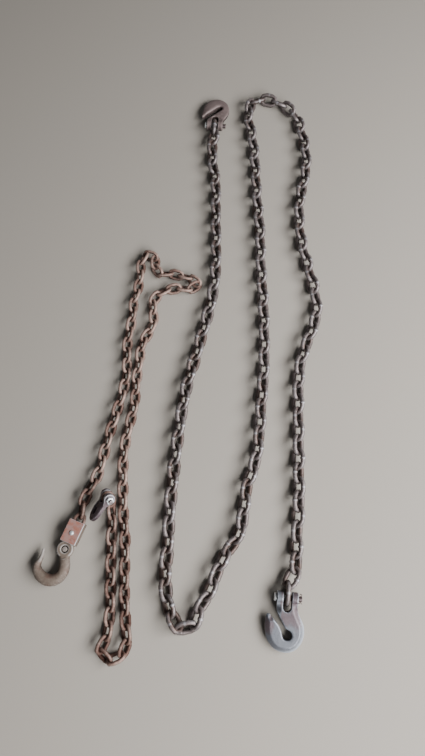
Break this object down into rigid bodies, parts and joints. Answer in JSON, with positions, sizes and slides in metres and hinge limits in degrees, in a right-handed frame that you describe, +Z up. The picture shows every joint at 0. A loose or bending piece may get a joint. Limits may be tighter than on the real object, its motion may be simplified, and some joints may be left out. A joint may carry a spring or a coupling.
{
  "type": "heap of steel chain",
  "caption": "Heap of steel chain: a grey log chain with clevis hooks and a rusty chain with a grab hook and an eye hook, laid out in runs on level ground.",
  "frame": {"origin": "on the ground under the middle of the heap's outline", "axes": "+Z up, +Y along the chains' long runs towards the far end of the heap, +X across the runs towards the grey chain's outer run"},
  "size_m": [0.6263, 1.4135, 0.0643],
  "materials": {
    "weathered_steel": "weathered grey-brown steel, dusty, with worn bright edges",
    "rusted_steel": "dry orange-brown rust",
    "forged_steel": "dark blue-grey forged steel, satin",
    "brown_forged_steel": "brown-grey forged steel, light rust",
    "red_primer": "old red primer, worn and faded",
    "zinc_plate": "dull zinc plating"
  },
  "bodies": {
    "chains": {"log_chain_01": "weathered_steel", "log_chain_02": "weathered_steel", "log_chain_03": "weathered_steel", "log_chain_04": "weathered_steel", "log_chain_05": "weathered_steel", "log_chain_06": "weathered_steel", "log_chain_07": "weathered_steel", "log_chain_08": "weathered_steel", "log_chain_09": "weathered_steel", "log_chain_10": "weathered_steel", "log_chain_11": "weathered_steel", "log_chain_12": "weathered_steel", "log_chain_13": "weathered_steel", "log_chain_14": "weathered_steel", "rusty_chain_01": "rusted_steel", "rusty_chain_02": "rusted_steel", "rusty_chain_03": "rusted_steel", "rusty_chain_04": "rusted_steel", "rusty_chain_05": "rusted_steel", "rusty_chain_06": "rusted_steel", "rusty_chain_07": "rusted_steel", "rusty_chain_08": "rusted_steel", "coupler_base": "rusted_steel", "coupler_cover": "red_primer", "coupler_rivet": "zinc_plate"},
    "near_log_hook": {"log_hook_near": "forged_steel", "log_pin_near": "weathered_steel", "log_cotter_near": "weathered_steel"},
    "far_log_hook": {"log_hook_far": "brown_forged_steel", "log_pin_far": "weathered_steel", "log_cotter_far": "weathered_steel"},
    "folded_grab_hook": {"grab_hook": "forged_steel", "grab_bolt": "weathered_steel", "grab_nut": "zinc_plate"},
    "swivelling_eye_hook": {"eye_hook": "rusted_steel"}
  },
  "joints": [
    {"name": "near_log_hook_pin", "type": "hinge", "parent": "chains", "child": "near_log_hook", "pos_m": [0.20067, -0.58284, 0.01885], "axis": [-0.9942, 0.1077, 0], "range_deg": [0, 120]},
    {"name": "far_log_hook_pin", "type": "hinge", "parent": "chains", "child": "far_log_hook", "pos_m": [0.05812, 0.59752, 0.01892], "axis": [0.9969, -0.0787, 0], "range_deg": [0, 120]},
    {"name": "grab_hook_bolt", "type": "hinge", "parent": "chains", "child": "folded_grab_hook", "pos_m": [-0.16457, -0.38671, 0.03905], "axis": [-0.3899, 0.5272, -0.755], "range_deg": [0, 165]},
    {"name": "eye_hook_stud", "type": "hinge", "parent": "chains", "child": "swivelling_eye_hook", "pos_m": [-0.24943, -0.48994, 0.01311], "axis": [-0.0015, -0.0036, 1], "range_deg": [-80, 60]}
  ]
}
